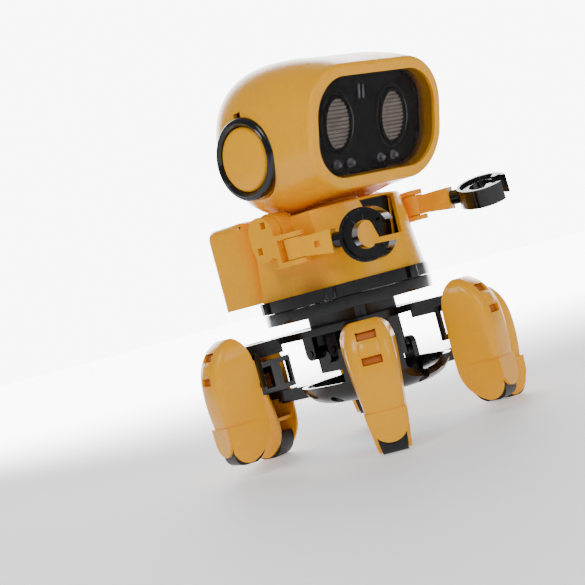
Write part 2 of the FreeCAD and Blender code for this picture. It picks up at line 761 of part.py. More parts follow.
# ---------------------------------------------------------------- head
def ring_section(y, z, half_width, half_height, corner, tilt):
    """A rounded rectangle that faces forward, leaning forward at its top by the tilt."""
    corner = min(corner, half_height - 0.05, half_width - 0.05)
    w, h, c = half_width, half_height, corner
    k = c * (1 - sqrt(0.5))
    flat = [
        (-w + c, 0, -h), (w - c, 0, -h),
        ((w - k, 0, -h + k), (w, 0, -h + c)), (w, 0, h - c),
        ((w - k, 0, h - k), (w - c, 0, h)), (-w + c, 0, h),
        ((-w + k, 0, h - k), (-w, 0, h - c)), (-w, 0, -h + c),
        ((-w + k, 0, -h + k), (-w + c, 0, -h)),
    ]
    wire = outline(flat)
    wire = wire.rotated(V(0, 0, 0), AXIS_X, tilt)
    return wire.translated(V(0, y, z))


def head_sections(inset):
    """Sections from the rim to the back of the head: y, z, half width, half height, corner, tilt."""
    base = crown_height - 161.0
    rows = [
        (rim_centre[0], rim_centre[1], rim_half_width, rim_half_height, 20.0, rim_tilt),
        (-24.0, 128.6 + base / 2, 38.8, 28.6 + base / 2, 21.5, 13.0),
        (-4.0, 129.9 + base / 2, 37.6, 31.0 + base / 2, 22.5, 4.0),
        (11.0, 130.2 + base / 2, 34.8, 30.3 + base / 2, 24.0, 0.0),
        (22.5, 130.6 + base / 2, 29.3, 26.4 + base / 2, 23.0, 0.0),
        (31.0, 131.0 + base / 2, 21.0, 19.4 + base / 2, 17.5, 0.0),
        (36.2, 131.3 + base / 2, 10.0, 9.2 + base / 2, 8.5, 0.0),
    ]
    wires = []
    for y, z, half_width, half_height, corner, tilt in rows:
        back = inset if y > 20 else 0
        wires.append(ring_section(y - back, z, half_width - inset, half_height - inset, corner - inset, tilt))
    return wires


def rim_block(inset, start, depth):
    """A prism behind the rim plane: start and depth are measured from the plane, inwards."""
    wire = ring_section(0, 0, rim_half_width - inset, rim_half_height - inset, 20.0 - inset, rim_tilt)
    inward = V(0, cos(radians(rim_tilt)), sin(radians(rim_tilt)))
    place = V(0, rim_centre[0], rim_centre[1]) + inward * start
    return Part.Face(wire.translated(place)).extrude(inward * depth)


def on_rim(edge):
    """Whether an edge lies in the plane of the face opening."""
    outward = V(0, -cos(radians(rim_tilt)), -sin(radians(rim_tilt)))
    place = V(0, rim_centre[0], rim_centre[1])
    ends = [edge.valueAt(edge.FirstParameter), edge.valueAt(edge.LastParameter)]
    return all(abs((end - place).dot(outward)) < 1e-4 for end in ends)


def head():
    """The two head covers, which part along the middle plane."""
    outer = Part.makeLoft(head_sections(0), True, False)
    outer = soften(outer, rim_round, on_rim)
    inner = Part.makeLoft(head_sections(head_wall), True, False)
    lip = outer.common(rim_block(-5, -5, 11)).cut(rim_block(rim_band, -6, 20))
    shell = outer.cut(inner)
    shell = joined([shell, lip])
    shell = shell.cut(rod(neck_radius + seat, (0, 0, torso_top - 5), (0, 0, neck_top + 8)))
    shell = shell.cut(rod(lens_radius + seat, (0, 0, crown_height - 1.6), (0, 0, crown_height + 9)))
    shell = shell.cut(rod(lens_radius - 1.4, (0, 0, crown_height - 9), (0, 0, crown_height)))
    y, z = ear_place
    shell = shell.cut(rod(ear_radius + seat, (-60, y, z), (60, y, z)))
    notch = box(-60, 60, y - 2.4, y + 2.4, z + ear_radius - 1, z + ear_radius + 2.2)
    shell = shell.cut(notch)
    clear = 90
    right = shell.common(box(-clear, -seat, -clear, clear, 0, 2 * clear))
    left = shell.common(box(seat, clear, -clear, clear, 0, 2 * clear))
    return right, left


def visor():
    return rim_block(rim_band + seat, 1.4, 1.5)


def face_point(u, v, depth):
    """A point on the face: sideways, up along the rim plane, and inwards from it."""
    tilt = radians(rim_tilt)
    y = rim_centre[0] - v * sin(tilt) + depth * cos(tilt)
    z = rim_centre[1] + v * cos(tilt) + depth * sin(tilt)
    return V(u, y, z)


mask_depth = 8.2
eye_sideways = 16.4


def face_mask():
    return rim_block(rim_band + 0.4, mask_depth, 1.6)


def eyes():
    """Two oval lenses that lean towards each other at the top."""
    lenses = []
    for side in (-1, 1):
        oval = Part.Ellipse(V(0, 0, 0), 10.0, 6.6).toShape()
        oval = Part.Wire([oval]).rotated(V(0, 0, 0), AXIS_Z, 90)
        oval = oval.rotated(V(0, 0, 0), AXIS_X, 90 + rim_tilt)
        face = Part.Face(oval.translated(face_point(side * eye_sideways, 0.6, mask_depth - seat)))
        outward = V(0, -cos(radians(rim_tilt)), -sin(radians(rim_tilt)))
        lenses.append(face.extrude(outward * 1.5))
    return Part.makeCompound(lenses)


def infrared_eyes():
    """The small sender and receiver bulbs along the foot of the face and the one above."""
    outward = V(0, -cos(radians(rim_tilt)), -sin(radians(rim_tilt)))
    bulbs = []
    for u, v in ((-17, -15.6), (-9, -15.8), (9, -15.8), (17, -15.6), (0, 15.2)):
        start = face_point(u, v, mask_depth - seat)
        barrel = Part.makeCylinder(1.3, 2.4, start, outward)
        dome = Part.makeSphere(1.3, start + outward * 2.4)
        bulbs.append(joined([barrel, dome]))
    return Part.makeCompound(bulbs)


def ear_ring():
    y, z = ear_place
    ring = tube(ear_radius, ear_cap_radius + seat, (-ear_face + 9.0, y, z), (-ear_face, y, z))
    outer_edge = [edge for edge in ring.Edges if abs(edge.BoundBox.XMin + ear_face) < 1e-3
                  and edge.BoundBox.YLength > 2 * ear_radius - 1 and edge.BoundBox.XLength < 1e-3]
    return ring.makeFillet(1.0, outer_edge) if outer_edge else ring


def ear_cap():
    """A shallow dome that fills the ear ring."""
    y, z = ear_place
    rise = 2.2
    ball = (ear_cap_radius ** 2 + rise ** 2) / (2 * rise)
    centre = V(-ear_face - 0.4 + ball, y, z)
    dome = Part.makeSphere(ball, centre)
    body = rod(ear_cap_radius, (-ear_face + 7.0, y, z), (-ear_face - 3, y, z))
    return body.common(dome)


def crown_lens():
    """A clear, gently domed cap over the light cell on top of the head."""
    rise = 2.2
    ball = (lens_radius ** 2 + rise ** 2) / (2 * rise)
    top = crown_height + 1.6
    dome = Part.makeSphere(ball, V(0, 0, top - ball))
    return rod(lens_radius, (0, 0, crown_height - 1.6), (0, 0, top + 1)).common(dome)


def crown_cell():
    top = crown_height - 1.6 - seat
    return rod(lens_radius - 1.4 - seat, (0, 0, top - 1.6), (0, 0, top))


# ---------------------------------------------------------------- arms
def arm_frame(side):
    """Where an arm's elbow is and which way its forearm points: the right one is folded in."""
    if side < 0:
        elbow = V(-36.0, -15.0, 84.6)
        forward = V(11.0, -29.0, -2.2)
    else:
        elbow = V(36.0, -17.4, 90.6)
        forward = V(11.6, -29.0, -1.8)
    forward.normalize()
    return elbow, forward


def aimed(shape, elbow, forward):
    """Place a piece modelled at the origin and pointing along -Y: turned down, then about the upright."""
    pitch = degrees(atan2(forward.z, hypot(forward.x, forward.y)))
    yaw = degrees(atan2(forward.x, -forward.y))
    shape = shape.rotated(V(0, 0, 0), AXIS_X, -pitch)
    return shape.rotated(V(0, 0, 0), AXIS_Z, yaw).translated(elbow)


knuckle_radius = 4.6
knuckle_half = 4.2
cheek_height = 2.0


def upper_arm(side):
    """The shoulder plate with two square holes, its beam and the fork for the elbow."""
    y, z = shoulder_place
    x0, x1 = sorted((side * arm_inner, side * (arm_inner + arm_plate)))
    outer_face = side * (arm_inner + arm_plate)
    elbow, _ = arm_frame(side)
    low = z - shoulder_drop
    plate = joined([
        rod(shoulder_radius, (x0, y, z), (x1, y, z)),
        rod(shoulder_radius - 0.4, (x0, y, low), (x1, y, low)),
        box(x0, x1, y - shoulder_radius + 0.2, y + shoulder_radius - 0.2, low, z),
    ])
    run = hypot(elbow.y - y, elbow.z - low)
    angle = degrees(atan2(elbow.z - low, elbow.y - y))
    beam = box(x0, x1, 0, run - knuckle_radius - 0.8, -4.6, 4.6)
    beam = beam.rotated(V(0, 0, 0), AXIS_X, angle).translated(V(0, y, low))
    tail_end = elbow.y + knuckle_radius + 3.0
    fork = []
    for start in (-knuckle_half - cheek_height - 0.3, knuckle_half + 0.3):
        z0, z1 = elbow.z + start, elbow.z + start + cheek_height
        fork.append(rod(knuckle_radius, (elbow.x, elbow.y, z0), (elbow.x, elbow.y, z1)))
        fork.append(box(elbow.x - knuckle_radius, elbow.x + knuckle_radius, elbow.y, tail_end, z0, z1))
    reach = knuckle_half + cheek_height + 0.3
    tail_start = elbow.y + knuckle_radius + 0.8
    fork.append(box(elbow.x - knuckle_radius, elbow.x + knuckle_radius, tail_start, tail_end,
                    elbow.z - reach, elbow.z + reach))
    inward, outward = sorted((side * (arm_inner - 1.8), outer_face + side * 2.2))
    keep = box(inward, outward, -90, 90, 0, 200)
    axle = rod(2.4, (side * (shoulder_flat - 3.0), y, z), (side * (arm_inner + 0.5), y, z))
    pin = rod(1.5, (elbow.x, elbow.y, elbow.z - reach + 0.3), (elbow.x, elbow.y, elbow.z + reach - 0.3))
    body = joined([plate, beam, axle, pin] + [piece.common(keep) for piece in fork])
    low_x, high_x = sorted((outer_face - side * 3.6, outer_face + side * 5))
    for dy, dz in ((-2.6, 3.4), (2.6, -6.4)):
        hole = box(low_x, high_x, y + dy - 1.4, y + dy + 1.4, z + dz - 1.4, z + dz + 1.4)
        body = body.cut(hole)
    return body


def forearm(side):
    """A knuckle on the elbow pin, a flared block and the socket for the claw's stem."""
    elbow, forward = arm_frame(side)
    low, high = elbow.z - knuckle_half, elbow.z + knuckle_half
    knuckle = rod(knuckle_radius - 0.3, (elbow.x, elbow.y, low), (elbow.x, elbow.y, high))
    block = prism([(-3.1, 0, -3.6), (-3.1, 0, 3.6), (-3.1, -17.0, 4.7), (-3.1, -17.0, -4.7)], (6.2, 0, 0))
    low_x, high_x = sorted((side * 1.6, side * 9))
    block = block.cut(box(low_x, high_x, -11.8, -9.4, -1.2, 1.2))
    arm = aimed(block, elbow, forward)
    trim = rod(knuckle_radius + 1.1, (elbow.x, elbow.y, 0), (elbow.x, elbow.y, elbow.z - knuckle_half)).fuse(
        rod(knuckle_radius + 1.1, (elbow.x, elbow.y, elbow.z + knuckle_half), (elbow.x, elbow.y, 200)))
    body = joined([knuckle, arm.cut(trim)])
    body = body.cut(rod(1.5 + play, (elbow.x, elbow.y, 0), (elbow.x, elbow.y, 200)))
    socket = rod(2.0 + play, (0, -12.4, 0), (0, -18, 0))
    return body.cut(aimed(socket, elbow, forward))


def claw(side):
    """A C-shaped gripper with stepped finger tips, on a round stem that turns in the forearm."""
    elbow, forward = arm_frame(side)
    half = claw_width / 2
    ring = tube(claw_radius, claw_bore, (-half, 0, 0), (half, 0, 0))
    mouth = box(-half - 1, half + 1, -claw_radius - 2, 0, -4.2, 4.2)
    ring = ring.cut(mouth)
    step = tube(claw_radius - 1.3, claw_bore - 2, (-half - 1, 0, 0), (-half + 1.2, 0, 0))
    step = step.fuse(tube(claw_radius - 1.3, claw_bore - 2, (half - 1.2, 0, 0), (half + 1, 0, 0)))
    rebate = step.common(box(-half - 2, half + 2, -3.5, claw_radius, -claw_radius, claw_radius))
    ring = ring.cut(rebate)
    for way in (-1, 1):
        ring = ring.cut(box(-half - 1, half + 1, -7.6, -5.9, *sorted((way * 4.0, way * 5.4))))
    ring = ring.translated(V(0, -claw_reach, 0))
    stem = rod(2.0, (0, -12.8, 0), (0, -claw_reach + claw_radius - 1.2, 0))
    collar = rod(3.2, (0, -17.4, 0), (0, -claw_reach + claw_radius - 0.6, 0))
    shape = joined([ring, stem, collar])
    if side > 0:
        shape = shape.rotated(V(0, 0, 0), AXIS_Y, 72)
    return aimed(shape, elbow, forward)


# ---------------------------------------------------------------- the whole robot
def main():
    os.makedirs("parts", exist_ok=True)
    save("waist_band_lower", lower_band())
    gearbox_right, gearbox_left = gearbox()
    save("gearbox_right", gearbox_right)
    save("gearbox_left", gearbox_left)
    save("gearbox_screws", gearbox_screws())
    save("drive_motor", drive_motor())
    for name, shape in drive_gears().items():
        save(name, shape)
    save("front_crank", crank(-crank_span / 2))
    save("rear_crank", crank(crank_span / 2))

    save("tripod_a_frame", lower_frame())
    save("tripod_b_frame", upper_frame())
    shell, toe, pad = leg_shell(), toe_shell(), foot_pad()
    for letter, angles, offset in (("a", leg_angles_a, offset_a), ("b", leg_angles_b, offset_b)):
        for number, piece in enumerate(tripod(angles, shell, offset), 1):
            save("leg_" + letter + str(number), piece)
        for number, piece in enumerate(tripod(angles, toe, offset), 1):
            save("toe_" + letter + str(number), piece)
        save("foot_pads_" + letter, Part.makeCompound(tripod(angles, pad, offset)))

    save("waist_band_upper", upper_band())
    save("turn_retainer", turn_retainer())
    save("turn_motor", turn_motor())
    save("turn_pinion", turn_pinion())
    torso_front, torso_back = torso()
    save("torso_front", torso_front)
    save("torso_back", torso_back)
    save("chest_panel", chest_panel())
    save("torso_screws", torso_screws())
    save("main_board", main_board())
    save("speaker", speaker())
    box_body, box_outer = battery_box()
    save("battery_box", box_body)
    save("battery_door", battery_door(box_outer))
    save("battery_cells", battery_cells())
    save("power_switch", power_switch())

    head_right, head_left = head()
    save("head_right", head_right)
    save("head_left", head_left)
    save("visor", visor())
    save("face_mask", face_mask())
    save("eye_lenses", eyes())
    save("infrared_bulbs", infrared_eyes())
    save("ear_ring_right", ear_ring())
    save("ear_ring_left", mirrored(ear_ring()))
    save("ear_cap_right", ear_cap())
    save("ear_cap_left", mirrored(ear_cap()))
    save("crown_lens", crown_lens())
    save("crown_cell", crown_cell())

    for side, name in ((-1, "right"), (1, "left")):
        save("upper_arm_" + name, upper_arm(side))
        save("forearm_" + name, forearm(side))
        save("claw_" + name, claw(side))


main()
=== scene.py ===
"""Looks for the walking robot: moulded covers, louvred eyes, domed ears, lit for a studio table."""

import json
from math import cos, pi, radians, sin, sqrt

import bmesh
import bpy
from mathutils import Matrix, Vector


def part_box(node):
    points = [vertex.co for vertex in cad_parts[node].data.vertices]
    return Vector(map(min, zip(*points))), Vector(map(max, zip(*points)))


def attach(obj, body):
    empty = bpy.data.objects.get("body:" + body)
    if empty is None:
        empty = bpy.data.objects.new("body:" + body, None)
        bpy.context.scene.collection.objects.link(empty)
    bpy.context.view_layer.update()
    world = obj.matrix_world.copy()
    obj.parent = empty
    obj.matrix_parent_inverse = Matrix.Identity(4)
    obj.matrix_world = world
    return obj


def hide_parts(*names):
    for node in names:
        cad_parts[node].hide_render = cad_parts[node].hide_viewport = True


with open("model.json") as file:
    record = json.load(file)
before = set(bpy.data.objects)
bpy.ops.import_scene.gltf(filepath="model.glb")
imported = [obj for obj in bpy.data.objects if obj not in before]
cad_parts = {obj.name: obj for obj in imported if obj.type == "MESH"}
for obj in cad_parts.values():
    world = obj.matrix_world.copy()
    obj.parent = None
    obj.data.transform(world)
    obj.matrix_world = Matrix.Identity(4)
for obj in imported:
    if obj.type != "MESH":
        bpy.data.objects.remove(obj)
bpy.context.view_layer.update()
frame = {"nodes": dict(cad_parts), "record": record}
MM = 0.001


# ---------------------------------------------------------------- shader maths
class Field:
    """A shader value that can be used in Python expressions."""

    def __init__(self, finish, socket):
        self.finish = finish
        self.socket = socket

    def _math(self, operation, first, second=None):
        inputs = {0: first} if second is None else {0: first, 1: second}
        return self.finish.node("ShaderNodeMath", {"operation": operation}, inputs)

    def __add__(self, other):
        return self._math("ADD", self, other)

    __radd__ = __add__

    def __mul__(self, other):
        return self._math("MULTIPLY", self, other)

    __rmul__ = __mul__

    def __sub__(self, other):
        return self._math("SUBTRACT", self, other)

    def __rsub__(self, other):
        return self._math("SUBTRACT", other, self)

    def __truediv__(self, other):
        return self._math("DIVIDE", self, other)

    def __rtruediv__(self, other):
        return self._math("DIVIDE", other, self)

    def __pow__(self, power):
        return self._math("POWER", self, power)

    def above(self, level):
        return self._math("GREATER_THAN", self, level)

    def absolute(self):
        return self._math("ABSOLUTE", self)

    def fraction(self):
        return self._math("FRACT", self)

    def ramp(self, low, high):
        return self.finish.node("ShaderNodeMapRange", {"clamp": True, "interpolation_type": "SMOOTHSTEP"},
                                {"Value": self, "From Min": low, "From Max": high})


class Finish:
    """One material: its node tree and its Principled shader."""

    def __init__(self, name, **plain):
        self.material = bpy.data.materials.new(name)
        self.material.use_nodes = True
        self.tree = self.material.node_tree
        self.shader = self.tree.nodes["Principled BSDF"]
        for socket, value in plain.items():
            self.shader.inputs[socket.replace("_", " ")].default_value = value

    def node(self, kind, settings=None, inputs=None, output=0):
        node = self.tree.nodes.new(kind)
        for key, value in (settings or {}).items():
            if key == "stops":
                for stop, (place, colour) in zip(node.color_ramp.elements, value):
                    stop.position, stop.color = place, colour
            else:
                setattr(node, key, value)
        for key, value in (inputs or {}).items():
            self.feed(node.inputs[key], value)
        return Field(self, node.outputs[output])

    def feed(self, socket, value):
        if isinstance(value, Field):
            self.tree.links.new(value.socket, socket)
        else:
            socket.default_value = value

    def drive(self, socket, value):
        self.feed(self.shader.inputs[socket], value)

    def place(self):
        return self.node("ShaderNodeTexCoord", output="Object")

    def axis(self, name):
        return self.node("ShaderNodeSeparateXYZ", None, {0: self.place()}, output=name)

    def cloud(self, size, detail=3.0, roughness=0.5, stretch=(1, 1, 1)):
        """Soft noise whose blotches are about one size across, in millimetres."""
        where = self.node("ShaderNodeMapping", None, {"Vector": self.place(), "Scale": stretch})
        return self.node("ShaderNodeTexNoise", None, {"Vector": where, "Scale": 1.0 / (size * MM),
                                                      "Detail": detail, "Roughness": roughness})

    def blend(self, amount, first, second):
        return self.node("ShaderNodeMix", {"data_type": "RGBA"}, {0: amount, 6: first, 7: second}, output=2)

    def bump(self, height, strength, depth):
        self.drive("Normal", self.node("ShaderNodeBump", None, {"Strength": strength, "Distance": depth * MM,
                                                              "Height": height}))


def rgb(red, green, blue):
    return (red, green, blue, 1.0)


def moulded(name, base, shade, gloss, coat=0.25, grain=0.05, **plain):
    """Injection-moulded plastic: faint flow clouds, fine grain, hairline scuffs and dull handled patches."""
    finish = Finish(name, Coat_Weight=coat, Coat_Roughness=0.12, **plain)
    clouds = finish.cloud(26, 2.0)
    scuffs = finish.cloud(0.5, 4.0, 0.65, (1.0, 0.12, 0.5)).ramp(0.64, 0.78)
    finish.drive("Base Color", finish.blend(clouds.ramp(0.35, 0.75) * 0.55 + scuffs * 0.12, base, shade))
    finish.drive("Roughness", gloss + finish.cloud(9, 4.0).ramp(0.4, 0.75) * 0.09 + scuffs * 0.10)
    finish.bump(finish.cloud(0.55, 2.0) + finish.cloud(5, 1.0) * 0.8, grain, 0.06)
    return finish.material


yellow = moulded("golden_shell_plastic", rgb(1.0, 0.45, 0.0), rgb(0.96, 0.39, 0.0), 0.24, 0.08,
                 Specular_IOR_Level=0.32)
black = moulded("gloss_black_plastic", rgb(0.004, 0.004, 0.0045), rgb(0.009, 0.009, 0.010), 0.10, 0.12, 0.04)
black_satin = moulded("satin_black_frame_plastic", rgb(0.004, 0.004, 0.0045), rgb(0.010, 0.010, 0.011),
                      0.17, 0.10, 0.12)
mask_black = moulded("deep_black_face_plastic", rgb(0.001, 0.001, 0.001), rgb(0.003, 0.0025, 0.0025),
                     0.26, 0.0, 0.08, Specular_IOR_Level=0.12)
# darker amber for the slot plates: painted shade standing for the shadow at the bottom of each shin slot
slot_shade = moulded("painted_shadow_amber_plastic", rgb(0.50, 0.13, 0.0), rgb(0.42, 0.10, 0.0), 0.45, 0.0)
gear_white = moulded("ivory_gear_nylon", rgb(0.74, 0.73, 0.68), rgb(0.66, 0.65, 0.6), 0.34, 0.05, 0.1)
disc_grey = moulded("pale_grey_crown_plastic", rgb(0.62, 0.65, 0.67), rgb(0.52, 0.55, 0.57), 0.2, 0.5, 0.05)


def rubber():
    finish = Finish("black_foot_rubber", Specular_IOR_Level=0.35)
    dust = finish.cloud(3.5, 5.0, 0.7).ramp(0.5, 0.8)
    finish.drive("Base Color", finish.blend(dust * 0.5, rgb(0.013, 0.014, 0.016), rgb(0.05, 0.052, 0.056)))
    finish.drive("Roughness", 0.42 + dust * 0.2)
    finish.bump(finish.cloud(0.35, 3.0) + finish.cloud(2.2, 2.0) * 0.5, 0.25, 0.08)
    return finish.material


def smoked():
    finish = Finish("smoked_visor_plastic", Alpha=0.22, IOR=1.46, Specular_IOR_Level=0.25)
    haze = finish.cloud(14, 3.0).ramp(0.4, 0.8)
    finish.drive("Base Color", finish.blend(haze, rgb(0.006, 0.005, 0.005), rgb(0.012, 0.009, 0.008)))
    finish.drive("Roughness", 0.03 + haze * 0.05)
    return finish.material


def louvre():
    finish = Finish("warm_grey_louvre_plastic")
    streaks = finish.cloud(1.6, 3.0, 0.6, (0.2, 1, 1)).ramp(0.35, 0.75)
    finish.drive("Base Color", finish.blend(streaks, rgb(0.62, 0.54, 0.48), rgb(0.46, 0.39, 0.34)))
    finish.drive("Roughness", 0.38 + streaks * 0.15)
    finish.bump(finish.cloud(0.4, 2.0), 0.12, 0.05)
    return finish.material


def brushed(name, base, shade):
    finish = Finish(name, Metallic=1.0)
    lines = finish.cloud(0.3, 4.0, 0.6, (1.0, 1.0, 0.06))
    finish.drive("Base Color", finish.blend(lines.ramp(0.35, 0.7), base, shade))
    finish.drive("Roughness", 0.26 + lines * 0.2)
    finish.bump(lines, 0.1, 0.03)
    return finish.material


def bulb():
    finish = Finish("clear_bulb_resin", IOR=1.5, Coat_Weight=1.0, Coat_Roughness=0.02)
    depth = finish.cloud(1.2, 2.0).ramp(0.4, 0.7)
    finish.drive("Base Color", finish.blend(depth, rgb(0.30, 0.31, 0.36), rgb(0.16, 0.16, 0.2)))
    finish.drive("Roughness", 0.05 + depth * 0.05)
    return finish.material


def cell_face():
    finish = Finish("dark_blue_cell_face", Coat_Weight=0.8, Coat_Roughness=0.05)
    bars = (finish.axis("X") * 520.0).fraction().above(0.9)
    rails = ((finish.axis("Y") * 130.0).fraction() - 0.5).absolute().above(0.46)
    grid = finish.node("ShaderNodeMath", {"operation": "MAXIMUM"}, {0: bars, 1: rails})
    finish.drive("Base Color", finish.blend(grid, rgb(0.05, 0.07, 0.14), rgb(0.55, 0.56, 0.58)))
    finish.drive("Roughness", 0.12 + grid * 0.25)
    return finish.material


def board_green():
    finish = Finish("green_circuit_board")
    tracks = ((finish.axis("X") * 400.0 + finish.cloud(4, 0.0) * 2.0).fraction() - 0.5).absolute().above(0.36)
    finish.drive("Base Color", finish.blend(tracks, rgb(0.01, 0.11, 0.035), rgb(0.03, 0.2, 0.08)))
    finish.drive("Roughness", 0.3 + tracks * 0.1)
    finish.bump(tracks, 0.2, 0.05)
    return finish.material


def cell_wrap():
    finish = Finish("green_cell_wrap", Coat_Weight=0.4, Coat_Roughness=0.1)
    band = finish.axis("X").absolute().above(0.019)
    finish.drive("Base Color", finish.blend(band, rgb(0.04, 0.16, 0.07), rgb(0.6, 0.58, 0.52)))
    finish.drive("Metallic", band)
    finish.drive("Roughness", 0.24 + finish.cloud(3, 3.0) * 0.12)
    return finish.material


foot_rubber = rubber()
visor_smoke = smoked()
louvre_grey = louvre()
steel = brushed("motor_can_steel", rgb(0.55, 0.55, 0.56), rgb(0.42, 0.42, 0.43))
screw_metal = brushed("zinc_screw_steel", rgb(0.5, 0.5, 0.52), rgb(0.36, 0.36, 0.38))
bulb_resin = bulb()
cell_blue = cell_face()
board = board_green()
wrap = cell_wrap()

SLOT_FINISH = {
    "yellow_plastic": yellow, "black_plastic": black, "gear_plastic": gear_white, "screw_steel": screw_metal,
    "motor_steel": steel, "foot_rubber": foot_rubber, "smoked_visor": visor_smoke, "clear_lens": disc_grey,
    "solar_cell": cell_blue, "eye_plastic": louvre_grey, "bulb_plastic": bulb_resin, "circuit_board": board,
    "battery_metal": wrap,
}
SATIN_NODES = {"tripod_a_frame", "tripod_b_frame", "gearbox_right", "gearbox_left", "front_crank",
               "rear_crank"}
# how far each CAD node's edges are rounded, in millimetres
EDGE_ROUND = {"head": 0.5, "torso": 0.45, "battery": 0.5, "toe": 0.55, "foot": 0.7, "upper": 0.5,
              "forearm": 0.5, "claw": 0.4, "waist": 0.3, "tripod": 0.35, "chest": 0.35, "leg": 0.5}


def dress_frame():
    """Give every CAD node its finish and smooth shading, and soft moulded edges to the kinds listed in
    EDGE_ROUND.
    """
    slots = {row["node"]: row["material_slot"] for row in frame["record"]["subparts"]}
    for name, node in frame["nodes"].items():
        finish = SLOT_FINISH[slots[name]]
        if name in SATIN_NODES:
            finish = black_satin
        if name == "face_mask":
            finish = mask_black
        node.data.materials.clear()
        node.data.materials.append(finish)
        weld = node.modifiers.new("weld", "WELD")
        weld.merge_threshold = 0.00002
        amount = EDGE_ROUND.get(name.split("_")[0])
        if amount:
            bevel = node.modifiers.new("moulded_edges", "BEVEL")
            bevel.width = amount * MM
            bevel.segments = 3
            bevel.limit_method = "ANGLE"
            bevel.angle_limit = radians(38)
            bevel.use_clamp_overlap = True
            bevel.harden_normals = False
        smooth = node.modifiers.new("shading", "WEIGHTED_NORMAL")
        smooth.keep_sharp = True


dress_frame()


# ---------------------------------------------------------------- mesh tools
def mesh_piece(name, verts, faces, material, body, smooth=True):
    data = bpy.data.meshes.new(name)
    data.from_pydata([tuple(v) for v in verts], [], faces)
    work = bmesh.new()
    work.from_mesh(data)
    bmesh.ops.remove_doubles(work, verts=work.verts, dist=1e-6)
    bmesh.ops.recalc_face_normals(work, faces=work.faces)
    work.to_mesh(data)
    work.free()
    if smooth:
        data.polygons.foreach_set("use_smooth", [True] * len(data.polygons))
    piece = bpy.data.objects.new(name, data)
    bpy.context.scene.collection.objects.link(piece)
    data.materials.append(material)
    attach(piece, body)
    return piece


def rings_to_faces(rings, closed_round=True, closed_along=False):
    """Quads between rings of equal length, and caps at the open ends unless they close on each other."""
    count = len(rings[0])
    faces = []
    spans = len(rings) if closed_along else len(rings) - 1
    for row in range(spans):
        a, b = row * count, ((row + 1) % len(rings)) * count
        for k in range(count if closed_round else count - 1):
            n = (k + 1) % count
            faces.append((a + k, a + n, b + n, b + k))
    if closed_round and not closed_along:
        faces.append(tuple(range(count)))
        faces.append(tuple(range((len(rings) - 1) * count, len(rings) * count)))
    return faces


def turned(profile, centre, axis, up, steps=72):
    """Vertices and faces of a turned piece: profile is (radius, height along the axis) in millimetres."""
    axis, up = Vector(axis).normalized(), Vector(up)
    side = axis.cross(up).normalized()
    up = side.cross(axis)
    rings = []
    for radius, height in profile:
        ring = []
        for step in range(steps):
            a = 2 * pi * step / steps
            spoke = (up * cos(a) + side * sin(a)) * max(radius, 0.001)
            ring.append(Vector(centre) + (axis * height + spoke) * MM)
        rings.append(ring)
    return [v for ring in rings for v in ring], rings_to_faces(rings)


def quarter(steps, first=1):
    """Angles of a quarter turn, for the rounded shoulder of a turned piece."""
    return [pi / 2 * step / steps for step in range(first, steps + 1)]


def soften_edges(piece, width, segments=3, angle=35):
    bevel = piece.modifiers.new("soft_edges", "BEVEL")
    bevel.width = width * MM
    bevel.segments = segments
    bevel.limit_method = "ANGLE"
    bevel.angle_limit = radians(angle)
    normal = piece.modifiers.new("shading", "WEIGHTED_NORMAL")
    normal.keep_sharp = True


def middle(node):
    low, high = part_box(node)
    return (Vector(low) + Vector(high)) / 2


# ---------------------------------------------------------------- the face
RIM_TILT = radians(17.4)
FACE_UP = Vector((0, -sin(RIM_TILT), cos(RIM_TILT)))
FACE_IN = Vector((0, cos(RIM_TILT), sin(RIM_TILT)))
ACROSS = Vector((1, 0, 0))
VISOR_DEPTH = 2.15
MASK_DEPTH = 8.2
face_middle = middle("visor")


def on_face(u, v, depth):
    """A point of the face: sideways, up it and inwards from the rim, in millimetres."""
    return face_middle + (ACROSS * u + FACE_UP * v + FACE_IN * (depth - VISOR_DEPTH)) * MM


EYE_HALF_WIDTH, EYE_HALF_HEIGHT, EYE_SIDEWAYS, EYE_RISE = 6.6, 10.0, 16.4, 0.6
SLATS = 13


def eye_grille(side, name):
    """One eye: a stack of sloping louvres cut to an oval, inside a rounded surround."""
    verts, faces = [], []
    pitch = 2 * EYE_HALF_HEIGHT / SLATS
    for slat in range(SLATS):
        low = -EYE_HALF_HEIGHT + slat * pitch
        rows = []
        for share, proud in ((0.06, 0.25), (0.62, 1.25), (0.80, 1.32), (0.94, 0.9), (0.96, 0.15)):
            v = low + share * pitch
            half = EYE_HALF_WIDTH * sqrt(max(0.0, 1 - (v / (EYE_HALF_HEIGHT + 0.01)) ** 2))
            rows.append([on_face(side * EYE_SIDEWAYS + half * (2 * k / 12 - 1), EYE_RISE + v,
                                 MASK_DEPTH - proud) for k in range(13)])
        base = len(verts)
        verts += [p for row in rows for p in row]
        faces += [tuple(i + base for i in face) for face in rings_to_faces(rows, closed_round=False)]
    grille = mesh_piece(name, verts, faces, louvre_grey, "torso", smooth=False)
    thick = grille.modifiers.new("slat_thickness", "SOLIDIFY")
    thick.thickness = 0.18 * MM
    thick.offset = -1
    return grille


def oval_band(side, name, grow, inward, proud, material, start=0.0, stop=2 * pi):
    """A rounded strip that follows an eye's oval, all the way round or along an arc."""
    whole = stop - start > 2 * pi - 0.01
    steps = 96 if whole else 48
    rings = []
    for step in range(steps if whole else steps + 1):
        a = start + (stop - start) * step / steps
        ring = []
        fade = 1.0 if whole else max(0.08, sin(pi * step / steps)) ** 0.5
        for turn in range(10):
            t = 2 * pi * turn / 10
            out = grow + inward * cos(t) * fade
            up = proud * fade * (1 + sin(t)) * 0.5
            u = side * EYE_SIDEWAYS + (EYE_HALF_WIDTH + out) * cos(a)
            v = EYE_RISE + (EYE_HALF_HEIGHT + out) * sin(a)
            ring.append(on_face(u, v, MASK_DEPTH - 0.1 - up))
        rings.append(ring)
    verts = [p for ring in rings for p in ring]
    return mesh_piece(name, verts, rings_to_faces(rings, True, whole), material, "torso")


